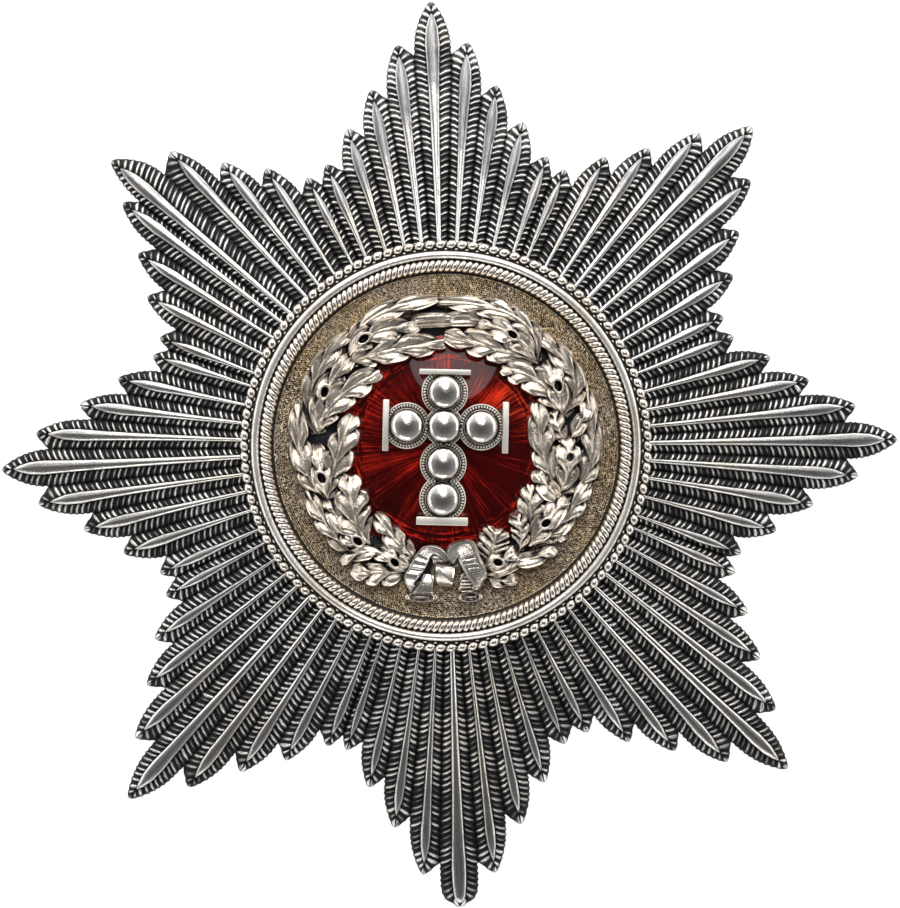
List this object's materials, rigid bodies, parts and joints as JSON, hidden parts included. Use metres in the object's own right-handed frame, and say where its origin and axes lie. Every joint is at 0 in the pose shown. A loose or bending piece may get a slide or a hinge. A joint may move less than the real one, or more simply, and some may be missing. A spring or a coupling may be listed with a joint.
{
  "type": "order insignia, breast star",
  "caption": "Eight-armed silver breast star of struck rays with a beaded medallion, oak wreath, red enamel centre and a cross of polished balls, pinned from behind.",
  "frame": {"origin": "centre of the circle through the arms' tips, on the plane that the tips rest on", "axes": "+Z out of the star's face, +Y to the top of the cross, +X to the right seen from the front"},
  "size_m": [0.0872, 0.0882, 0.0099],
  "materials": {
    "oxidised_silver": "struck silver, bright on the ridges and black with patina in the cuts",
    "rim_silver": "worn silver with dark patina between the strands and beads",
    "gilt_ground": "matt stippled old gilding, worn to olive brown",
    "red_enamel": "glossy translucent red enamel over engraved rays",
    "wreath_silver": "cast silver, warm and satin, blue-black in the recesses",
    "cross_silver": "polished silver with a fine beaded edge",
    "ball_silver": "mirror-polished silver",
    "pin_steel": "plain drawn wire, satin"
  },
  "bodies": {
    "root": {"star_body": "oxidised_silver", "medallion_rim": "rim_silver", "ground_disc": "gilt_ground", "enamel_disc": "red_enamel", "oak_wreath": "wreath_silver", "cross_frame": "cross_silver", "back_pin": "pin_steel", "ball_top": "ball_silver", "ball_left": "ball_silver", "ball_centre": "ball_silver", "ball_right": "ball_silver", "ball_lower": "ball_silver", "ball_foot": "ball_silver"}
  },
  "joints": []
}
